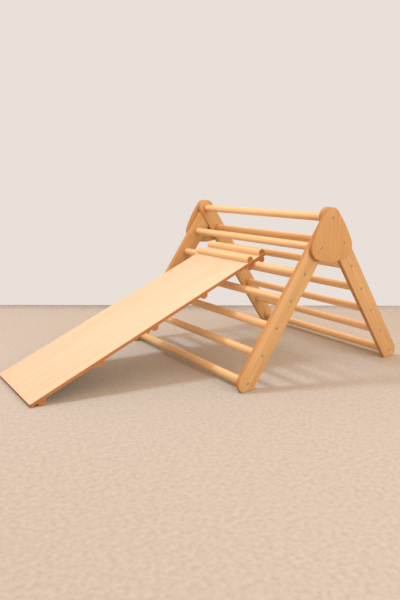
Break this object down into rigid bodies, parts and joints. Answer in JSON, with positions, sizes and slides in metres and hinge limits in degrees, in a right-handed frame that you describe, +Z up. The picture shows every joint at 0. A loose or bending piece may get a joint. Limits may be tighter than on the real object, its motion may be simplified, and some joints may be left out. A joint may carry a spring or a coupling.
{
  "type": "toddler climbing frame with slide",
  "caption": "Folding wooden climbing frame for toddlers, with two leaning ladders of round rungs and a reversible slide ramp hooked on one rung.",
  "frame": {"origin": "bottom centre of the whole object, on the floor", "axes": "+X from the foot of the ramp to the back ladder, +Y along the rungs from the near side to the far side, +Z up"},
  "size_m": [1.4608, 0.8366, 0.6254],
  "materials": {
    "rail": "oiled softwood board, honey coloured, satin",
    "plate": "oiled plywood plate, honey coloured, satin",
    "rung": "turned hardwood dowel, clear oil, satin",
    "board": "pale plywood, smooth clear varnish",
    "batten": "hardwood dowel planed flat on one side, oiled",
    "bolt": "zinc plated, satin"
  },
  "bodies": {
    "back_ladder": {"plate_near": "plate", "plate_far": "plate", "rail_back_near": "rail", "rail_back_far": "rail", "rung_apex": "rung", "rung_back_0": "rung", "rung_back_1": "rung", "rung_back_2": "rung", "rung_back_3": "rung", "rung_back_4": "rung", "rung_back_5": "rung", "bolt_apex_near": "bolt", "bolt_apex_far": "bolt", "bolt_back_0_near": "bolt", "bolt_back_0_far": "bolt", "bolt_back_1_near": "bolt", "bolt_back_1_far": "bolt", "bolt_back_2_near": "bolt", "bolt_back_2_far": "bolt", "bolt_back_3_near": "bolt", "bolt_back_3_far": "bolt", "bolt_back_4_near": "bolt", "bolt_back_4_far": "bolt", "bolt_back_5_near": "bolt", "bolt_back_5_far": "bolt"},
    "front_ladder": {"rail_front_near": "rail", "rail_front_far": "rail", "rung_front_0": "rung", "rung_front_2": "rung", "rung_front_3": "rung", "rung_front_4": "rung", "rung_front_5": "rung", "bolt_front_0_near": "bolt", "bolt_front_0_far": "bolt", "bolt_front_1_near": "bolt", "bolt_front_1_far": "bolt", "bolt_front_2_near": "bolt", "bolt_front_2_far": "bolt", "bolt_front_3_near": "bolt", "bolt_front_3_far": "bolt", "bolt_front_4_near": "bolt", "bolt_front_4_far": "bolt", "bolt_front_5_near": "bolt", "bolt_front_5_far": "bolt"},
    "hook_rung": {"rung_front_1": "rung"},
    "ramp": {"ramp_board": "board", "ramp_hook_upper_end": "batten", "ramp_hook_upper_inner": "batten", "ramp_hook_lower_end": "batten", "ramp_hook_lower_inner": "batten", "ramp_cleat_1": "batten", "ramp_cleat_2": "batten", "ramp_cleat_3": "batten", "ramp_cleat_4": "batten"}
  },
  "joints": [
    {"name": "fold", "type": "hinge", "parent": "back_ladder", "child": "front_ladder", "pos_m": [0.25925, 0, 0.48243], "axis": [0, -1, 0], "range_deg": [0, 68.8]},
    {"name": "ramp_tilt", "type": "hinge", "parent": "front_ladder", "child": "hook_rung", "pos_m": [0.19709, 0, 0.39164], "axis": [0, 1, 0], "range_deg": [0, 45]},
    {"name": "ramp_lift", "type": "slide", "parent": "hook_rung", "child": "ramp", "axis": [-0.4049, 0, 0.9144], "range_m": [0, 0.03]}
  ]
}
